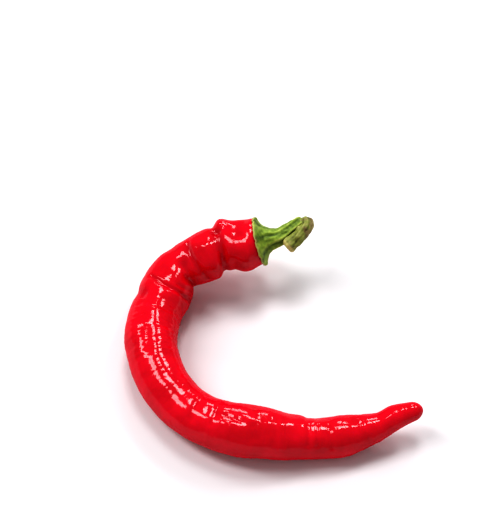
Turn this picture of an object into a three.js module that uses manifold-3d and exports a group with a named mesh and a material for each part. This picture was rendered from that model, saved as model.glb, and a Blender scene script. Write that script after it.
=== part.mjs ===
// A long, curly red chilli pepper as picked, lying on a table: one glossy pod and its green stalk.
//
// Each piece is first turned as a straight, round shape, and then bent along its middle line.
// The pod's creases and dents and the stalk's ribs are pressed into the skin on the way.
// Sizes are in millimetres and angles in degrees, with +Z up. The origin is on the table,
// under the middle of the pepper's outline.

import * as THREE from "three";
import Module from "manifold-3d";
import { mergeVertices } from "three/addons/utils/BufferGeometryUtils.js";

const UP = new THREE.Vector3(0, 0, 1);

// The pod

// The middle of the pod and its half thickness, about every 10 mm from the shoulder to the tip.
// The first station lies out in the stem, and only sets which way the shoulder faces.
const STATION_STEP = 10;
const STATIONS = [
  { at: [6.1, 38.1, 24.6], half: 9.0 },
  { at: [-2.9, 36.1, 21.0], half: 9.0 },
  { at: [-14.9, 35.9, 18.4], half: 8.8 },
  { at: [-23.9, 33.0, 15.3], half: 9.2 },
  { at: [-32.3, 30.0, 11.9], half: 8.3 },
  { at: [-37.6, 21.9, 9.6], half: 9.8 },
  { at: [-41.1, 12.8, 9.7], half: 9.4 },
  { at: [-42.8, 3.0, 9.9], half: 9.5 },
  { at: [-41.5, -6.9, 9.6], half: 9.2 },
  { at: [-37.8, -16.3, 8.9], half: 8.9 },
  { at: [-31.9, -24.5, 8.4], half: 8.6 },
  { at: [-24.3, -30.7, 8.8], half: 8.6 },
  { at: [-15.3, -34.6, 9.4], half: 9.0 },
  { at: [-5.5, -36.5, 9.5], half: 9.1 },
  { at: [4.6, -37.4, 8.2], half: 8.2 },
  { at: [14.5, -37.6, 6.95], half: 7.1 },
  { at: [24.3, -36.7, 6.95], half: 7.1 },
  { at: [34.1, -34.6, 8.2], half: 5.5 },
  { at: [43.1, -31.4, 10.9], half: 4.2 },
  { at: [52.1, -29.5, 13.5], half: 2.8 },
];
const POD_LENGTH = STATION_STEP * (STATIONS.length - 2);
const POD_SIDES = 32;
const CAP_EDGE = 1.6;

// The skin's creases, folds and dents. Each runs through places on the skin, given as the
// millimetres along the pod and the degrees around it, which are 0 on top and 90 on the outside
// of the pod's curve. Its width and depth are in millimetres, and a swelling has a depth under 0.
const MARKS = [
  // The shoulder has a dent on top, and its lower corner and back rim swell out.
  { path: [[5.9, -16], [6.1, 12]], width: 2.5, depth: 1.0 },
  { path: [[4.5, -80], [5.5, -125]], width: 3.0, depth: -1.5 },
  { path: [[10.4, 30], [10.8, 110]], width: 1.7, depth: -1.7 },
  // Deep folds behind the shoulder and round the neck, where the pod bends down to the table.
  { path: [[13.4, 120], [13.0, 60], [12.0, 15]], width: 1.2, depth: 0.8 },
  { path: [[12.0, 15], [12.2, -45], [14.2, -82], [16.0, -130]], width: 1.5, depth: 1.6 },
  { path: [[17.2, -15], [17.8, -100]], width: 2.6, depth: -0.9 },
  { path: [[21.6, -95], [22.0, -60], [22.6, -25], [23.2, 15]], width: 1.2, depth: 0.8 },
  { path: [[27.4, -60], [26.8, -20], [27.6, 25], [29.0, 60]], width: 1.3, depth: 0.5 },
  { path: [[33.5, -120], [32.6, -85], [33.6, -50]], width: 2.0, depth: 0.8 },
  { path: [[34.0, 60], [35.0, 110]], width: 5.0, depth: -0.8 },
  // Folds inside the tight bend, and the waist below it.
  { path: [[39.6, -100], [42.6, -60], [44.0, -22], [43.4, 5], [41.0, 32]], width: 1.3, depth: 0.7 },
  { path: [[37.4, -80], [39.6, -35]], width: 1.2, depth: 0.4 },
  { path: [[44.8, 105], [47.0, 60], [49.4, 25], [49.8, -25], [46.4, -70]], width: 2.4, depth: 0.9 },
  { path: [[52.4, -60], [53.6, -20], [52.8, 30]], width: 1.4, depth: 0.3 },
  // Shallow hollows along the limb and the groove between two seed chambers.
  { path: [[58.0, 2], [64.0, 6], [70.0, 8]], width: 2.0, depth: 0.35 },
  { path: [[76.0, 9], [84.0, 13], [93.0, 10], [98.0, 4]], width: 1.4, depth: 0.45 },
  { path: [[98.6, -40], [98.2, 0], [99.2, 35]], width: 1.5, depth: 0.45 },
  { path: [[106.0, -30], [106.8, 5], [106.2, 30]], width: 1.2, depth: 0.35 },
  { path: [[110.0, 2], [114.0, 8], [118.8, 14]], width: 1.3, depth: 0.3 },
  { path: [[119.4, -45], [119.2, 0], [120.2, 40]], width: 1.6, depth: 0.35 },
  { path: [[131.0, -50], [131.6, 20]], width: 2.2, depth: 0.3 },
  // Rings where the pod gets thinner, and the bend before the tip.
  { path: [[137.4, -60], [136.9, -10], [137.2, 45]], width: 1.0, depth: 0.45 },
  { path: [[141.2, -55], [140.4, 0], [140.6, 50]], width: 1.1, depth: 0.5 },
  { path: [[145.4, -40], [144.8, 10], [145.6, 60]], width: 1.4, depth: 0.35 },
  { path: [[157.0, -20], [156.4, 20], [157.6, 60]], width: 1.8, depth: 0.3 },
  { path: [[164.5, -100], [165.5, -30]], width: 3.0, depth: 0.6 },
];

// The pod's half thickness, smooth between its stations.
const thicknessCurve = new THREE.SplineCurve(STATIONS.map(({ half }, i) => new THREE.Vector2(i, half)));

function halfThickness(along) {
  return thicknessCurve.getPoint((along + STATION_STEP) / (POD_LENGTH + STATION_STEP)).y;
}

// Where a point of a bent piece lies: out from the middle line at an angle from the top,
// which is 90 on the right of someone who walks along the line.
function besideLine(line, share, degrees, out) {
  const middle = line.getPoint(share);
  const ahead = line.getTangent(share);
  const right = new THREE.Vector3().crossVectors(ahead, UP).normalize();
  const top = new THREE.Vector3().crossVectors(right, ahead);
  const turn = THREE.MathUtils.degToRad(degrees);
  return middle
    .addScaledVector(top, out * Math.cos(turn))
    .addScaledVector(right, out * Math.sin(turn));
}

// Bends a turned piece along the smooth line through its stations, which lie a step apart and
// start a lead before the piece. A point's distance from the turned piece's axis goes through
// outAt, which says how far out from the line the skin is there.
function bend(geometry, stations, step, lead, outAt) {
  const points = stations.map(({ at }) => new THREE.Vector3(...at));
  const line = new THREE.CatmullRomCurve3(points, false, "catmullrom", 0.5);
  const lineLength = step * (stations.length - 1);
  const skin = geometry.getAttribute("position");
  for (let i = 0; i < skin.count; i += 1) {
    const along = skin.getY(i);
    const around = THREE.MathUtils.radToDeg(Math.atan2(skin.getX(i), skin.getZ(i)));
    const out = outAt(along, around, Math.hypot(skin.getX(i), skin.getZ(i)));
    const point = besideLine(line, (along + lead) / lineLength, around, out);
    skin.setXYZ(i, point.x, point.y, Math.max(point.z, 0));
  }
  geometry.computeVertexNormals();
  return geometry;
}

// The distance over the skin from a place to the nearest stretch of a mark's path.
function distanceTo(path, along, around, half) {
  const perDegree = THREE.MathUtils.degToRad(half);
  const from = ([a, b]) => {
    const sideways = THREE.MathUtils.euclideanModulo(b - around + 180, 360) - 180;
    return new THREE.Vector2(a - along, sideways * perDegree);
  };
  let nearest = Infinity;
  for (let i = 1; i < path.length; i += 1) {
    const start = from(path[i - 1]);
    const stretch = new THREE.Vector2(
      path[i][0] - path[i - 1][0],
      (path[i][1] - path[i - 1][1]) * perDegree,
    );
    const share = THREE.MathUtils.clamp(-start.dot(stretch) / stretch.lengthSq(), 0, 1);
    nearest = Math.min(nearest, start.addScaledVector(stretch, share).length());
  }
  return nearest;
}

// How far the marks press the skin in. They fade out under the stalk's cap.
function pressedIn(along, around, half) {
  let depth = 0;
  for (const mark of MARKS) {
    const distance = distanceTo(mark.path, along, around, half) / mark.width;
    depth += mark.depth * Math.exp(-distance * distance);
  }
  return depth * THREE.MathUtils.smoothstep(along, CAP_EDGE, CAP_EDGE + 2);
}

// The ends of the straight pod's outline: how far along, and what share of the half thickness.
const SHOULDER_END = [
  [1.2, 0], [0.8, 0.3], [0.3, 0.55], [0.15, 0.78], [0.45, 0.87], [0.95, 0.93], [CAP_EDGE, 0.965], [2.6, 1],
];
const TIP_END = [[177.8, 0.93], [179.0, 0.75], [179.7, 0.45], [180, 0]];
const RING_STEP = 2.5;

// The straight pod's outline, with rings twice as close together where the skin is creased.
function podOutline() {
  const points = [...SHOULDER_END];
  for (let along = 3.5; along < 176.5; along += RING_STEP) {
    points.push([along, 1]);
    const creased = along < 50 || (along > 130 && along < 146);
    if (creased) points.push([along + RING_STEP / 2, 1]);
  }
  points.push(...TIP_END);
  return points.map(([along, share]) => new THREE.Vector2(share, along));
}

function makePod() {
  const geometry = new THREE.LatheGeometry(podOutline(), POD_SIDES);
  return bend(geometry, STATIONS, STATION_STEP, STATION_STEP, (along, around, share) => {
    const half = halfThickness(along);
    return share * (half - pressedIn(along, around, half));
  });
}

// The stalk: a green cap on the shoulder that narrows to a ribbed stem, and a hooked, cut end

// The middle of the stem, from inside the shoulder, and of the hook, every 3 mm.
const STALK_STEP = 3;
const STEM_STATIONS = [
  { at: [-5.77, 35.81, 20.16] },
  { at: [-2.9, 36.1, 21.0] },
  { at: [-0.03, 36.39, 21.84] },
  { at: [2.7, 36.7, 22.5] },
  { at: [5.4, 38.0, 23.0] },
  { at: [8.0, 39.9, 23.4] },
  { at: [10.5, 41.5, 23.8] },
  { at: [12.6, 42.6, 24.2] },
];
const HOOK_STATIONS = [
  { at: [13.2, 44.0, 24.1] },
  { at: [13.2, 41.2, 24.5] },
  { at: [12.6, 38.5, 24.6] },
  { at: [10.8, 36.3, 24.0] },
  { at: [8.5, 34.4, 22.8] },
  { at: [6.1, 32.8, 21.4] },
];
const STALK_SIDES = 36;
const RIBS = 6;
const RIB_HEIGHT = 0.22;
const RIB_TWIST = 1.5;

// Outlines of the straight stem, with its cap, and of the hook: how far along, and how far out.
const STEM_OUTLINE = [
  [3.15, 0], [3.15, 7.12], [2.8, 7.98], [2.23, 8.62], [1.7, 8.9], [1.65, 9.05], [2.0, 9.25], [2.6, 8.95],
  [3.2, 8.2], [3.8, 7.0], [4.5, 5.8], [5.4, 4.8], [6.6, 4.1], [8.0, 3.65], [9.6, 3.3], [11.2, 3.0],
  [12.8, 2.8], [14.4, 2.7], [16.0, 2.65], [17.6, 2.65], [18.9, 2.6], [19.9, 2.3], [20.7, 1.6], [21, 0],
];
const HOOK_OUTLINE = [
  [0, 0], [0.2, 1.2], [0.9, 2.1], [2.1, 2.55], [3.5, 2.65], [4.9, 2.6], [6.3, 2.5], [7.7, 2.45],
  [9.1, 2.45], [10.5, 2.5], [11.9, 2.55], [13.3, 2.65], [14.4, 2.65], [14.9, 2.5], [15, 2.1], [14.7, 0],
];

function outlinePoints(outline) {
  return outline.map(([along, out]) => new THREE.Vector2(out, along));
}

// Ribs wind slowly along the stem, and die out on the cap and towards the middle of a flat end.
function ribbed(along, around, out) {
  const wave = Math.cos(THREE.MathUtils.degToRad(RIBS * (around + RIB_TWIST * along)));
  const strength = THREE.MathUtils.smoothstep(out, 1, 2.4) * THREE.MathUtils.smoothstep(7 - out, 0, 3);
  return out + RIB_HEIGHT * strength * wave;
}

// A closed mesh as a solid that can be joined with others.
function solidFrom(wasm, geometry) {
  geometry.deleteAttribute("normal");
  geometry.deleteAttribute("uv");
  const merged = mergeVertices(geometry, 1e-4);
  const corners = [];
  for (let i = 0; i < merged.index.count; i += 3) {
    const [a, b, c] = [0, 1, 2].map((k) => merged.index.getX(i + k));
    if (a !== b && b !== c && c !== a) corners.push(a, b, c);
  }
  const vertProperties = new Float32Array(merged.getAttribute("position").array);
  const triVerts = new Uint32Array(corners);
  return new wasm.Manifold(new wasm.Mesh({ numProp: 3, vertProperties, triVerts }));
}

async function makeStalk() {
  const wasm = await Module();
  wasm.setup();
  const stem = new THREE.LatheGeometry(outlinePoints(STEM_OUTLINE), STALK_SIDES);
  const hook = new THREE.LatheGeometry(outlinePoints(HOOK_OUTLINE), STALK_SIDES);
  bend(stem, STEM_STATIONS, STALK_STEP, 0, ribbed);
  bend(hook, HOOK_STATIONS, STALK_STEP, 0, ribbed);
  const joined = solidFrom(wasm, stem).add(solidFrom(wasm, hook)).getMesh();
  const geometry = new THREE.BufferGeometry();
  geometry.setAttribute("position", new THREE.BufferAttribute(joined.vertProperties, 3));
  geometry.setIndex(new THREE.BufferAttribute(joined.triVerts, 1));
  geometry.computeVertexNormals();
  return geometry;
}

// The whole pepper

const podSkin = new THREE.MeshStandardMaterial({ color: 0xc8060c, roughness: 0.2, metalness: 0 });
const stalkSkin = new THREE.MeshStandardMaterial({ color: 0x6d8f2a, roughness: 0.6, metalness: 0 });

const pepper = new THREE.Group();
const pod = new THREE.Mesh(makePod(), podSkin);
pod.name = "pod";
const stalk = new THREE.Mesh(await makeStalk(), stalkSkin);
stalk.name = "stalk";
pepper.add(pod, stalk);

export default pepper;
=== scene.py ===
import math

import bmesh
import bpy
import numpy as np
from mathutils import Matrix, Vector, noise


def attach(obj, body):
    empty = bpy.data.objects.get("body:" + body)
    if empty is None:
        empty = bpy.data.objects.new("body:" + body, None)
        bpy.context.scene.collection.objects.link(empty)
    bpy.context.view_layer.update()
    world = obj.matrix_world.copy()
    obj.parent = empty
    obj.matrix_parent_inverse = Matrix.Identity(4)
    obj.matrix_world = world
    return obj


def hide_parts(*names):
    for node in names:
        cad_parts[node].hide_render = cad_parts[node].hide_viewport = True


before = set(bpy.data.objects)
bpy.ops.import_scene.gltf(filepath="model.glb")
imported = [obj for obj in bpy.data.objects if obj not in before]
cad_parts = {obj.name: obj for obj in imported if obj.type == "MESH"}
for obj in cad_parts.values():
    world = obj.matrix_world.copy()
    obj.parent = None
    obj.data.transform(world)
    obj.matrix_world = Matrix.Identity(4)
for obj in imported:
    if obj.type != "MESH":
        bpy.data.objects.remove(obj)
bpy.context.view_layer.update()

# Camera. It looks down on the table at the photograph's angle, square to the table's edge,
# through a long lens, and is aimed at a spot on the table just behind the neck.
MM = 0.001
AIM = Vector((-11.2, 43.0, 0.0)) * MM
ELEVATION = math.radians(55)
DISTANCE = 547 * MM
LENS = 100
SENSOR_WIDTH = 36
NEAREST = 10 * MM

camera = bpy.data.objects.new("camera", bpy.data.cameras.new("camera"))
bpy.context.collection.objects.link(camera)
camera.data.lens = LENS
camera.data.sensor_width = SENSOR_WIDTH
camera.data.clip_start = NEAREST
camera.location = AIM + DISTANCE * Vector((0, -math.cos(ELEVATION), math.sin(ELEVATION)))
camera.rotation_euler = (math.pi / 2 - ELEVATION, 0, 0)
bpy.context.scene.camera = camera

# Pod. A thick, waxy skin over hollow flesh, grown in one piece from the shoulder to the tip.
# It is spun as a straight fruit, then bent along its middle line, and the folds, wrinkles and
# dents where the fruit curled as it grew are pressed into the skin on the way.

# Places on its middle line, about 10 mm apart, with half its thickness there, in millimetres. The
# first lies one step before the shoulder.
STATION_STEP = 10.0
POD_STATIONS = (
    ((6.1, 38.1, 24.6), 9.0),
    ((-2.9, 36.1, 21.0), 9.0),
    ((-14.9, 35.9, 18.4), 8.8),
    ((-23.9, 33.0, 15.3), 9.2),
    ((-32.3, 30.0, 11.9), 8.3),
    ((-37.6, 21.9, 9.6), 9.8),
    ((-41.1, 12.8, 9.7), 9.4),
    ((-42.8, 3.0, 9.9), 9.5),
    ((-41.5, -6.9, 9.6), 9.2),
    ((-37.8, -16.3, 8.9), 8.9),
    ((-31.9, -24.5, 8.4), 8.6),
    ((-24.3, -30.7, 8.8), 8.6),
    ((-15.3, -34.6, 9.4), 9.0),
    ((-5.5, -36.5, 9.5), 9.1),
    ((4.6, -37.4, 8.2), 8.2),
    ((14.5, -37.6, 6.95), 7.1),
    ((24.3, -36.7, 6.95), 7.1),
    ((34.1, -34.6, 8.2), 5.5),
    ((43.1, -31.4, 10.9), 4.2),
    ((52.1, -29.5, 13.5), 2.8),
)

# Its outline, as millimetres along and the share of half its thickness that it stands out. The
# shoulder turns in under the cap, the barrel is full, and the tip is rounded off.
CAP_EDGE = 1.6
SHOULDER_END = (
    (1.2, 0), (0.8, 0.3), (0.3, 0.55), (0.15, 0.78), (0.45, 0.87), (0.95, 0.93), (CAP_EDGE, 0.965),
)
BARREL_START = 2.6
TIP_START = 176.5
POD_LENGTH = 180.0
TIP_POINTS = 10
POD_RINGS = 690
POD_SEGMENTS = 136

# Each fold runs through places on the skin, as the millimetres along the pod and the degrees
# around it, which are 0 on top and 90 on the outside of the curve. Then come its width and its
# depth, which is under 0 for a swelling.
FOLDS = (
    # The shoulder.
    (((3.8, -52), (8.4, -52)), 3.4, -1.0),
    (((5.4, -10), (5.4, 24)), 2.0, 0.5),
    (((4.5, -80), (5.5, -125)), 3.0, -1.5),
    (((10.4, 30), (10.8, 110)), 1.7, -1.7),
    # The neck, where the pod bends down to the table.
    (((13.4, 120), (13.0, 60), (12.0, 15)), 1.2, 0.8),
    (((12.0, 15), (12.2, -45), (14.2, -82), (16.0, -130)), 2.0, 1.35),
    (((17.2, -15), (17.8, -100)), 2.6, -0.9),
    (((21.6, -95), (22.0, -60), (22.6, -25), (23.2, 15)), 1.2, 0.8),
    (((28.4, 20), (29.0, 60)), 1.3, 0.4),
    (((25.0, -4), (26.2, -24)), 2.8, 0.6),
    (((28.2, -36), (30.0, -20)), 2.6, 0.55),
    (((33.5, -120), (32.6, -85), (33.6, -50)), 2.0, 0.8),
    (((34.0, 60), (35.0, 110)), 5.0, -0.8),
    # The tight bend, and the waist below it.
    (((39.6, -100), (42.6, -60), (44.0, -22), (43.4, 5), (41.0, 32)), 1.3, 0.7),
    (((37.4, -80), (39.6, -35)), 1.2, 0.4),
    (((44.8, 105), (47.0, 60), (48.6, 36)), 2.4, 0.9),
    (((49.4, 25), (49.8, -25), (46.4, -70)), 3.0, 0.4),
    # The limb.
    (((55.0, -12), (62.0, 8), (70.0, 30)), 1.8, -0.14),
    (((52.4, -60), (53.6, -20), (52.8, 30)), 1.4, 0.3),
    (((58.0, 2), (64.0, 6), (70.0, 8)), 2.0, 0.35),
    # The bottom stretch.
    (((98.6, -40), (98.2, 0), (99.2, 35)), 1.5, 0.45),
    (((106.0, -30), (106.8, 5), (106.2, 30)), 1.2, 0.35),
    (((110.0, 2), (114.0, 8), (118.8, 14)), 1.3, 0.3),
    (((104.0, 4), (109.0, 3), (116.0, 4)), 1.5, 0.3),
    (((121.0, -12), (124.0, -8), (128.0, -14)), 1.6, 0.3),
    (((119.4, -45), (119.2, 0), (120.2, 40)), 1.6, 0.35),
    (((131.0, -50), (131.6, 20)), 2.2, 0.3),
    # The rings, and the tail past them.
    (((137.4, -60), (136.9, -10), (137.2, 45)), 1.1, 0.35),
    (((140.8, -16), (140.8, 20)), 2.2, -0.5),
    (((141.2, -55), (140.4, 0), (140.6, 50)), 0.8, 0.3),
    (((145.4, -40), (144.8, 10), (145.6, 60)), 1.4, 0.35),
    (((157.0, -20), (156.4, 20), (157.6, 60)), 1.8, 0.3),
    (((164.5, -100), (165.5, -30)), 3.0, 0.6),
)

# The fine relief has a height, a length along the pod and a width around it, in millimetres, and a
# seed. Lumps are all over it. Ripples are as strong as RIPPLED says at places along the pod.
LUMPS = (0.35, 7, 6, 3)
RIPPLES = ((0.12, 2.1, 5.0, 40), (0.08, 0.9, 6.0, 80))
RIPPLED = (
    (0, 0.1), (12, 0.3), (36, 0.4), (48, 0.6), (56, 1.7), (70, 1.5), (75, 0.45), (97, 0.45),
    (106, 0.7), (118, 0.7), (124, 1.2), (132, 0.5), (146, 0.3), (152, 1), (162, 1), (168, 0.4),
    (180, 0.1),
)
# All the relief sets in over this stretch past the cap's edge.
RELIEF_START = 2
# Points of a spun piece that are nearer than this are merged.
WELD = 1e-5

# Its colours: blotched red, darkened with painted shade where the skin is pressed in, and its waxy
# gloss.
SKIN_ROUGHNESS = 0.38
SKIN_SHINE = 0.0
WAX_WEIGHT = 0.34
WAX_ROUGHNESS = 0.09
WAX_IOR = 2.0
FLESH_GLOW = 0.12
FLESH_TINT = (1.0, 0.08, 0.04)
FLESH_REACH = 2 * MM
RED = (0.60, 0.0, 0.019)
BRIGHT_RED = (0.73, 0.0, 0.026)
# The dark red of the painted shade in the folds and creases.
PAINTED_FOLD_SHADE_RED = (0.36, 0.0, 0.014)
BLOTCHES_A_METRE = 140
BLOTCH_DETAIL = 3.0
FOLD_SHADE = {"From Min": 0.15, "From Max": 1.1, "To Max": 0.5}


def through(stations, place):
    """Values and slopes of a smooth curve through even stations, at places counted in stations."""
    known = np.array(stations, float)
    known = np.concatenate([[2 * known[0] - known[1]], known, [2 * known[-1] - known[-2]]])
    start = np.clip(np.floor(place).astype(int), 0, len(known) - 4)
    t = (place - start)[:, None]
    a, b, c, d = (known[start + k] for k in range(4))
    square = 2 * a - 5 * b + 4 * c - d
    cube = 3 * b - a - 3 * c + d
    value = b + t * (c - a) / 2 + t**2 * square / 2 + t**3 * cube / 2
    slope = (c - a) / 2 + t * square + t**2 * cube * 1.5
    return value, slope


def bend(along, around, out, stations, step, lead):
    """Points of a straight round piece, moved to its middle line through stations a step apart."""
    middle, ahead = through(stations, (along + lead) / step)
    ahead /= np.linalg.norm(ahead, axis=1)[:, None]
    right = np.cross(ahead, (0, 0, 1))
    right /= np.linalg.norm(right, axis=1)[:, None]
    top = np.cross(right, ahead)
    turn = np.radians(around)
    return middle + top * (out * np.cos(turn))[:, None] + right * (out * np.sin(turn))[:, None]


def degrees_from(around, side):
    """How far around from a side places lie, from -180 to 180 degrees."""
    return (around - side + 180) % 360 - 180


def distance_to(path, along, around, half):
    """The distance over the skin from places on it to the nearest stretch of a fold's path."""
    per_degree = np.radians(half)
    nearest = np.full(len(along), np.inf)
    for (a, b), (c, d) in zip(path, path[1:]):
        start_along = a - along
        start_around = degrees_from(b, around) * per_degree
        run_along = c - a
        run_around = (d - b) * per_degree
        share = -(start_along * run_along + start_around * run_around)
        share = np.clip(share / (run_along**2 + run_around**2), 0, 1)
        gap = np.hypot(start_along + share * run_along, start_around + share * run_around)
        nearest = np.minimum(nearest, gap)
    return nearest


def eased(value, low, high):
    """A number that rises smoothly from 0 to 1 as a value goes from low to high."""
    share = np.clip((value - low) / (high - low), 0, 1)
    return share * share * (3 - 2 * share)


def lumps(along, around, half, length, width, seed):
    """Smooth random relief from -1 to 1, its lumps of a length along and a width around."""
    turn = np.radians(around)
    across = half / width
    points = np.stack([along / length + seed, across * np.cos(turn), across * np.sin(turn)], axis=1)
    return np.array([noise.noise(point) for point in points.tolist()])


def pressed_in(along, around, half):
    """How deep the pod's skin is pressed in at places on it, in millimetres."""
    depth = np.zeros(len(along))
    for path, width, press in FOLDS:
        depth += press * np.exp(-(distance_to(path, along, around, half) / width) ** 2)
    height, *size = LUMPS
    depth += height * lumps(along, around, half, *size)
    ripple = np.interp(along, *zip(*RIPPLED))
    for height, *size in RIPPLES:
        depth += height * ripple * lumps(along, around, half, *size)
    return depth * eased(along, CAP_EDGE, CAP_EDGE + RELIEF_START)


def spun(outline, cuts, segments):
    """A straight round piece: an outline of (along, out), its stretches cut finer, spun round Z."""
    bm = bmesh.new()
    chain = [bm.verts.new((out, 0, along)) for along, out in outline]
    edges = [bm.edges.new(pair) for pair in zip(chain, chain[1:])]
    for edge, count in zip(edges, cuts):
        if count:
            bmesh.ops.subdivide_edges(bm, edges=[edge], cuts=count)
    bmesh.ops.spin(
        bm, geom=bm.verts[:] + bm.edges[:], axis=(0, 0, 1), cent=(0, 0, 0), dvec=(0, 0, 0),
        angle=2 * math.pi, steps=segments, use_merge=True,
    )
    bmesh.ops.remove_doubles(bm, verts=bm.verts, dist=WELD)
    bmesh.ops.recalc_face_normals(bm, faces=bm.faces)
    return bm


def unrolled(bm):
    """Each vertex of a spun piece as how far along, how many degrees around, and how far out."""
    x, y, z = np.array([v.co for v in bm.verts]).T
    return z, np.degrees(np.arctan2(x, y)), np.hypot(x, y)


def as_piece(name, *limbs):
    """One smooth object in metres, from spun limbs and their vertices' places in millimetres."""
    whole = bmesh.new()
    for bm, places in limbs:
        for vertex, place in zip(bm.verts, places):
            vertex.co = place
        limb = bpy.data.meshes.new("limb")
        bm.to_mesh(limb)
        bm.free()
        whole.from_mesh(limb)
        bpy.data.meshes.remove(limb)
    bmesh.ops.scale(whole, vec=(MM, MM, MM), verts=whole.verts)
    for face in whole.faces:
        face.smooth = True
    mesh = bpy.data.meshes.new(name)
    whole.to_mesh(mesh)
    whole.free()
    piece = bpy.data.objects.new(name, mesh)
    bpy.context.collection.objects.link(piece)
    return piece


def keep_number(piece, name, values):
    """Keeps one number for each vertex, for the piece's material to read."""
    piece.data.attributes.new(name, "FLOAT", "POINT").data.foreach_set("value", values)


def new_finish(piece, name, roughness, shine):
    """Gives a piece a new material, and returns its nodes, its links and its shader's sockets."""
    material = bpy.data.materials.new(name)
    material.use_nodes = True
    piece.data.materials.append(material)
    tree = material.node_tree
    sockets = tree.nodes["Principled BSDF"].inputs
    sockets["Roughness"].default_value = roughness
    sockets["Specular IOR Level"].default_value = shine
    return tree.nodes, tree.links, sockets


def spot():
    """The output of a node that gives each place on the piece."""
    return nodes.new("ShaderNodeTexCoord").outputs["Object"]


def noisy(scale, detail=2.0):
    """The output of a noise texture over the piece, with its scale in lumps a metre."""
    node = nodes.new("ShaderNodeTexNoise")
    node.inputs["Scale"].default_value = scale
    node.inputs["Detail"].default_value = detail
    links.new(spot(), node.inputs["Vector"])
    return node.outputs["Fac"]


def number(name):
    """The output of a node that reads one of a piece's kept numbers."""
    node = nodes.new("ShaderNodeAttribute")
    node.attribute_name = name
    return node.outputs["Fac"]


def graded(value, stops, change="LINEAR"):
    """The output of a colour ramp from a value, with stops of (position, colour)."""
    node = nodes.new("ShaderNodeValToRGB")
    ramp = node.color_ramp
    ramp.interpolation = change
    for element, (position, color) in zip(ramp.elements, stops):
        element.position = position
        element.color = (*color, 1)
    for position, color in stops[2:]:
        ramp.elements.new(position).color = (*color, 1)
    links.new(value, node.inputs["Fac"])
    return node.outputs["Color"]


def mixed(share, one, other):
    """The output of a colour mix from one to the other, which are colours or other outputs."""
    node = nodes.new("ShaderNodeMix")
    node.data_type = "RGBA"
    links.new(share, node.inputs["Factor"])
    for socket, value in ((node.inputs[6], one), (node.inputs[7], other)):
        if isinstance(value, tuple):
            socket.default_value = (*value, 1)
        else:
            links.new(value, socket)
    return node.outputs[2]


tip = [
    (TIP_START + (POD_LENGTH - TIP_START) * math.sin(turn), math.cos(turn))
    for turn in np.linspace(0, math.pi / 2, TIP_POINTS)
]
tip[-1] = (POD_LENGTH, 0)
pod_outline = [*SHOULDER_END, (BARREL_START, 1), *tip]
pod_cuts = [0] * len(SHOULDER_END) + [POD_RINGS] + [0] * TIP_POINTS
pod_bm = spun(pod_outline, pod_cuts, POD_SEGMENTS)
along, around, share = unrolled(pod_bm)

pod_line = [middle for middle, _ in POD_STATIONS]
halves = [(half,) for _, half in POD_STATIONS]
pod_half = through(halves, (along + STATION_STEP) / STATION_STEP)[0][:, 0]
pressed = pressed_in(along, around, pod_half)
pod_out = share * (pod_half - pressed)
pod_places = bend(along, around, pod_out, pod_line, STATION_STEP, STATION_STEP)
# Its weight presses it flat where it lies on the table.
pod_places[:, 2] = np.maximum(pod_places[:, 2], 0)
pod = as_piece("pod_skin", (pod_bm, pod_places))
keep_number(pod, "pressed", pressed)

nodes, links, sockets = new_finish(pod, "red_waxy_skin", SKIN_ROUGHNESS, SKIN_SHINE)
sockets["Coat Weight"].default_value = WAX_WEIGHT
sockets["Coat Roughness"].default_value = WAX_ROUGHNESS
sockets["Coat IOR"].default_value = WAX_IOR
sockets["Subsurface Weight"].default_value = FLESH_GLOW
sockets["Subsurface Radius"].default_value = FLESH_TINT
sockets["Subsurface Scale"].default_value = FLESH_REACH
reds = graded(noisy(BLOTCHES_A_METRE, BLOTCH_DETAIL), ((0.35, RED), (0.65, BRIGHT_RED)))
# Painted shade darkens the red where the skin is pressed in, most in the deep folds.
painted_fold_shade = nodes.new("ShaderNodeMapRange")
for socket, value in FOLD_SHADE.items():
    painted_fold_shade.inputs[socket].default_value = value
links.new(number("pressed"), painted_fold_shade.inputs["Value"])
links.new(mixed(painted_fold_shade.outputs["Result"], reds, PAINTED_FOLD_SHADE_RED), sockets["Base Color"])

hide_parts("pod")
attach(pod, "root")

# Stalk. The woody green stem of the fruit and the cap it spreads over the pod's shoulder, grown as
# one piece. It is ribbed lengthwise, bent right back on itself near its end, and dry and brown at
# the bend; the end is where it was cut off the plant.

# Places on the middle lines of its two limbs, the stem and the hook, about 3 mm apart.
STALK_STEP = 3.0
STEM_STATIONS = (
    (-5.77, 35.81, 20.16), (-2.9, 36.1, 21.0), (-0.03, 36.39, 21.84), (2.7, 36.7, 22.5),
    (5.4, 38.0, 23.0), (8.0, 39.9, 23.4), (10.5, 41.5, 23.8), (12.6, 42.6, 24.2),
)
HOOK_STATIONS = (
    (13.2, 44.0, 24.1), (13.2, 41.2, 24.5), (12.6, 38.5, 24.6), (10.8, 36.3, 24.0),
    (8.5, 34.4, 22.8), (6.1, 32.8, 21.4),
)

# Their outlines, as millimetres along and out. The stem's runs from inside the cap out to its rim
# and back in to the stem, and the hook's ends at the cut.
STEM_OUTLINE = (
    (3.15, 0), (3.15, 7.12), (2.8, 7.98), (2.23, 8.62), (1.7, 8.9), (1.65, 9.05), (2.0, 9.25),
    (2.6, 8.95), (3.0, 8.2), (3.55, 7.0), (4.2, 5.8), (5.1, 4.8), (6.6, 4.1), (8.0, 3.65),
    (9.6, 3.3), (11.2, 3.0), (12.8, 2.8), (14.4, 2.7), (16.0, 2.65), (17.6, 2.65), (18.9, 2.6),
    (19.9, 2.3), (20.7, 1.6), (21, 0),
)
HOOK_OUTLINE = (
    (0, 0), (0.2, 1.2), (0.9, 2.1), (2.1, 2.55), (3.5, 2.65), (4.9, 2.6), (6.3, 2.5), (7.7, 2.45),
    (9.1, 2.45), (10.5, 2.5), (11.9, 2.55), (13.3, 2.65), (14.4, 2.65), (14.9, 2.5), (15, 2.1),
    (14.7, 0),
)
STALK_SEGMENTS = 120
RING_GAP = 0.22
ROUNDINGS = 8

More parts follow.
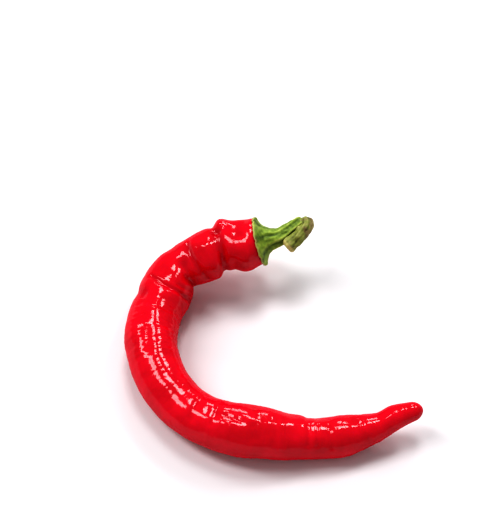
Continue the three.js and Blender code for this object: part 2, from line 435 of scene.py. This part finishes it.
# Heights of the ribs and of the knobbly bark, in millimetres, and a seed, for each limb. The next
# three are added to the seed.
STEM_BARK = (0.20, 0.35, 11)
HOOK_BARK = (0.11, 0.75, 61)
NOTCH_SEED = 5
FLUTE_SEED = 7
KNOB_SEED = 20

# The ribs twist along the limb, narrow ones stand between the broad ones, and neither is even.
# Ribs and knobs set in round the limb's end, and run out over the cap.
TWIST = 1.5
BROAD_RIBS = 6
NARROW_RIBS = 13
NARROW_SHARE = 0.5
NARROW_TURN = 1.3
NARROW_TWIST = 0.25
UNEVEN_SHARE = 0.9
UNEVEN_SIZE = (7, 1.3)
KNOB_SIZE = (2.0, 1.6)
RIBS_SET_IN = (1, 2.4)
RIBS_END = 7
RIBS_RUN_OUT = 3
# What counts as a full rib in the colours: the sum of its waves, and its height in millimetres.
FULL_RIB = 1.8
FULL_HEIGHT = 0.2

# The cap's flutes and its notched rim, with how far out each sets in.
CAP_FLUTES = 11
FLUTE_HEIGHT = 0.12
FLUTE_WANDER = 2.0
FLUTE_SIZE = (6, 5)
FLUTES_SET_IN = (3.2, 5)
CAP_OUT = 9
NOTCH_DEPTH = 0.9
NOTCH_SIZE = (1, 1.1)
NOTCH_EXTRA = 0.2
RIM_SETS_IN = (7.4, 8.9)

# Its colours run from furrows darkened with painted shade to ribs paled with painted highlight,
# following the ribs' height:
# green on the stem, olive on the hook, tan where dry.
BARK_ROUGHNESS = 0.55
BARK_SHINE = 0.3
GREENS = (
    (0.0, (0.06, 0.095, 0.022)), (0.35, (0.19, 0.27, 0.05)), (0.62, (0.31, 0.42, 0.075)),
    (0.95, (0.60, 0.60, 0.20)),
)
TANS = ((0.0, (0.05, 0.035, 0.018)), (0.4, (0.19, 0.14, 0.06)), (0.9, (0.46, 0.41, 0.20)))
OLIVES = ((0.0, (0.10, 0.10, 0.03)), (0.45, (0.27, 0.30, 0.08)), (0.95, (0.54, 0.52, 0.22)))
# Painted shade, nearly black, for the crease between the stem and the hook.
PAINTED_CREASE_SHADE = (0.035, 0.03, 0.012)
CUT_STRAW = (0.58, 0.52, 0.22)
BLACK = (0, 0, 0)
WHITE = (1, 1, 1)
SPECKS_A_METRE = 900
PATCHES_A_METRE = 450
GRAINS_A_METRE = 2200
GRAIN_HEIGHT = 0.2 * MM
GRAIN_STRENGTH = 0.5

# How much each counts in the colours: a factor, and an amount added.
RIB_LIGHT_COUNT = (0.32, 0.42)
SPECKS_COUNT = (0.7, -0.35)
PATCHES_COUNT = (2.6, -1.55)
PATCH_DETAIL = 3.0

# It is dry outside the bend and round the cap's rim, and darkened with painted shade in the crease
# where the limbs lie side by side.
# The hook ends in the pale cut, and the rim is nearly as pale. A side is a middle and a spread, in
# degrees around, and a stretch is the millimetres along, or out at the rim, over which it changes.
STEM_OUTSIDE = (-60, 60)
HOOK_OUTSIDE = (-80, 55)
STEM_INSIDE = (90, 40)
HOOK_INSIDE = (100, 30)
STEM_DRIES = (17, 20)
HOOK_DRY_FADES = (6, 10)
STEM_SHADE_SETS_IN = (11, 14)
HOOK_SHADE_FADES = (8, 12)
HOOK_IS_CUT = (13.2, 13.9)
RIM_DRIES = (8.4, 9.1)
RIM_PALES = (8.9, 9.1)

# How much each shows, from 0 to 1. The hook is a little dry all over.
STEM_BEND_DRY = 0.8
HOOK_BEND_DRY = 0.95
HOOK_DRY = 0.3
RIM_DRY = 0.35
STEM_SHADE_AMOUNT = 0.9
HOOK_SHADE_AMOUNT = 0.7
RIM_PALE = 0.6


def ribbed(along, around, out, ribs, knobs, seed):
    """How far the ribs and the bark stand out, in millimetres, and their height from -1 to 1."""
    turned = np.radians(around + TWIST * along)
    narrow = NARROW_SHARE * np.cos(NARROW_RIBS * turned + NARROW_TURN + NARROW_TWIST * along)
    uneven = UNEVEN_SHARE * lumps(along, around, out, *UNEVEN_SIZE, seed)
    rib = np.cos(BROAD_RIBS * turned) + narrow + uneven
    amount = eased(out, *RIBS_SET_IN) * eased(RIBS_END - out, 0, RIBS_RUN_OUT)
    knob = lumps(along, around, out, *KNOB_SIZE, seed + KNOB_SEED)
    height = rib / FULL_RIB * ribs / FULL_HEIGHT + knob * knobs
    return amount * (ribs * rib + knobs * knob), height


def strand(outline, stations, ribs, knobs, seed):
    """One limb of the stalk as a spun and bent bmesh, its places and the numbers for its colours."""
    lengths = [math.hypot(b[0] - a[0], b[1] - a[1]) for a, b in zip(outline, outline[1:])]
    cuts = [max(round(length / RING_GAP) - 1, 0) for length in lengths]
    bm = spun(outline, cuts, STALK_SEGMENTS)
    for _ in range(ROUNDINGS):
        bmesh.ops.smooth_vert(
            bm, verts=bm.verts, factor=0.5, use_axis_x=True, use_axis_y=True, use_axis_z=True,
        )
    along, around, out = unrolled(bm)
    rise, rib = ribbed(along, around, out, ribs, knobs, seed)
    # The rim of the cap is notched, and the cap is faintly fluted where the ribs run out over it.
    rim = eased(out, *RIM_SETS_IN)
    notch = lumps(0 * along, around, CAP_OUT, *NOTCH_SIZE, seed + NOTCH_SEED)
    notch = np.clip(notch + NOTCH_EXTRA, 0, 1)
    wander = FLUTE_WANDER * lumps(along, around, out, *FLUTE_SIZE, seed + FLUTE_SEED)
    flute = np.cos(CAP_FLUTES * np.radians(around) + wander)
    flute = eased(out, *FLUTES_SET_IN) * (1 - rim) * flute
    moved = along + NOTCH_DEPTH * rim * notch + FLUTE_HEIGHT * flute
    places = bend(moved, around, out + rise, stations, STALK_STEP, 0)
    return bm, places, along, around, out, rib


def facing(around, side, spread):
    """A number from 0 to 1 for how nearly a place faces one side, in degrees around."""
    return np.exp(-(degrees_from(around, side) / spread) ** 2)


def worked_out(operation, *values):
    """The output of a math node on values that are numbers or other outputs."""
    node = nodes.new("ShaderNodeMath")
    node.operation = operation
    for socket, value in zip(node.inputs, values):
        if isinstance(value, (int, float)):
            socket.default_value = value
        else:
            links.new(value, socket)
    return node.outputs["Value"]


stem = strand(STEM_OUTLINE, STEM_STATIONS, *STEM_BARK)
hook = strand(HOOK_OUTLINE, HOOK_STATIONS, *HOOK_BARK)
stem_bm, stem_places, stem_along, stem_around, stem_out, stem_rib = stem
hook_bm, hook_places, hook_along, hook_around, _, hook_rib = hook
stalk = as_piece("stalk_skin", (stem_bm, stem_places), (hook_bm, hook_places))

stem_bend = facing(stem_around, *STEM_OUTSIDE) * eased(stem_along, *STEM_DRIES)
hook_bend = facing(hook_around, *HOOK_OUTSIDE) * (1 - eased(hook_along, *HOOK_DRY_FADES))
stem_dry = STEM_BEND_DRY * stem_bend + RIM_DRY * eased(stem_out, *RIM_DRIES)
hook_dry = HOOK_BEND_DRY * hook_bend + HOOK_DRY
# Painted shade in the crease where the stem and the hook lie side by side.
stem_nook = facing(stem_around, *STEM_INSIDE) * eased(stem_along, *STEM_SHADE_SETS_IN)
hook_nook = facing(hook_around, *HOOK_INSIDE) * (1 - eased(hook_along, *HOOK_SHADE_FADES))
stem_painted_shade = STEM_SHADE_AMOUNT * stem_nook
hook_painted_shade = HOOK_SHADE_AMOUNT * hook_nook
stem_cut = RIM_PALE * eased(stem_out, *RIM_PALES)
hook_cut = eased(hook_along, *HOOK_IS_CUT)
keep_number(stalk, "rib", np.concatenate([stem_rib, hook_rib]))
keep_number(stalk, "dry", np.concatenate([stem_dry, hook_dry]))
keep_number(stalk, "painted_shade", np.concatenate([stem_painted_shade, hook_painted_shade]))
keep_number(stalk, "cut", np.concatenate([stem_cut, hook_cut]))
keep_number(stalk, "hook", np.concatenate([0 * stem_along, 0 * hook_along + 1]))

nodes, links, sockets = new_finish(stalk, "green_ribbed_bark", BARK_ROUGHNESS, BARK_SHINE)
# Painted shade in the furrows and painted highlight on the ribs, from the ribs' height, with random
# specks added.
rib_shade_and_highlight = worked_out("MULTIPLY_ADD", number("rib"), *RIB_LIGHT_COUNT)
specks = worked_out("MULTIPLY_ADD", noisy(SPECKS_A_METRE), *SPECKS_COUNT)
rib_light_and_specks = worked_out("ADD", rib_shade_and_highlight, specks)
patches = noisy(PATCHES_A_METRE, PATCH_DETAIL)
patches = worked_out("MULTIPLY_ADD", patches, *PATCHES_COUNT)
dryness = worked_out("ADD", number("dry"), patches)
dryness = graded(dryness, ((0.2, BLACK), (0.6, WHITE)))
color = mixed(number("hook"), graded(rib_light_and_specks, GREENS), graded(rib_light_and_specks, OLIVES))
color = mixed(dryness, color, graded(rib_light_and_specks, TANS))
# The painted shade in the crease between the limbs goes over the colours.
color = mixed(number("painted_shade"), color, PAINTED_CREASE_SHADE)
color = mixed(number("cut"), color, CUT_STRAW)
links.new(color, sockets["Base Color"])
grain = nodes.new("ShaderNodeBump")
grain.inputs["Strength"].default_value = GRAIN_STRENGTH
grain.inputs["Distance"].default_value = GRAIN_HEIGHT
links.new(noisy(GRAINS_A_METRE), grain.inputs["Height"])
links.new(grain.outputs["Normal"], sockets["Normal"])

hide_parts("stalk")
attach(stalk, "root")

# Table. A plain white top that the pepper lies on, much larger than the view. It is matt, and
# greyer away from the middle.
TABLE_RADIUS = 3
TABLE_SEGMENTS = 96
TABLE_ROUGHNESS = 0.7
TABLE_SHINE = 0.2
TABLE_WHITES = ((0.16, (0.77, 0.757, 0.774)), (0.6, (0.60, 0.59, 0.605)))

table_bm = bmesh.new()
bmesh.ops.create_circle(table_bm, cap_ends=True, segments=TABLE_SEGMENTS, radius=TABLE_RADIUS)
table = bpy.data.objects.new("table", bpy.data.meshes.new("table"))
table_bm.to_mesh(table.data)
table_bm.free()
bpy.context.collection.objects.link(table)

nodes, links, sockets = new_finish(table, "white_table", TABLE_ROUGHNESS, TABLE_SHINE)
reach = nodes.new("ShaderNodeVectorMath")
reach.operation = "LENGTH"
links.new(spot(), reach.inputs[0])
links.new(graded(reach.outputs["Value"], TABLE_WHITES, "EASE"), sockets["Base Color"])

# Lights. Three soft lamps, each nearly square, hang behind the pepper and over it, and a long strip
# hangs on its left. The gloss on the pod mirrors them in rows, and a plain white room fills in
# between them.
LIGHT_DISTANCE = 2.5
ROOM_STRENGTH = 0.30


def studio_light(name, one_end, other_end, width, radiance):
    """A lamp some degrees wide, from one direction to another as the pepper sees it."""
    one, other = Vector(one_end).normalized(), Vector(other_end).normalized()
    towards = (one + other).normalized()
    across = (other - one).cross(towards).normalized()
    along = towards.cross(across)
    lamp = bpy.data.lights.new(name, "AREA")
    lamp.shape = "RECTANGLE"
    lamp.size = 2 * LIGHT_DISTANCE * math.tan(math.radians(width / 2))
    lamp.size_y = 2 * LIGHT_DISTANCE * math.tan(one.angle(other) / 2)
    lamp.energy = radiance * math.pi * lamp.size * lamp.size_y
    light = bpy.data.objects.new(name, lamp)
    bpy.context.collection.objects.link(light)
    turned = Matrix((across, along, towards)).transposed().to_4x4()
    light.matrix_world = Matrix.Translation(towards * LIGHT_DISTANCE) @ turned


studio_light("window", (0.58, 0.49, 0.65), (0.42, 0.49, 0.76), 12, 9)
studio_light("skylight", (0.16, 0.44, 0.88), (-0.10, 0.40, 0.91), 16, 8.5)
studio_light("back_lamp", (0.02, 0.76, 0.65), (0.06, 0.88, 0.47), 14, 6.5)
studio_light("strip", (-0.78, 0.28, 0.56), (-0.31, 0.05, 0.95), 14.5, 6.4)

world = bpy.data.worlds.new("studio")
world.use_nodes = True
world.node_tree.nodes["Background"].inputs["Color"].default_value = (1, 1, 1, 1)
world.node_tree.nodes["Background"].inputs["Strength"].default_value = ROOM_STRENGTH
bpy.context.scene.world = world
bpy.context.scene.view_settings.view_transform = "Standard"
bpy.context.scene.view_settings.look = "Very High Contrast"
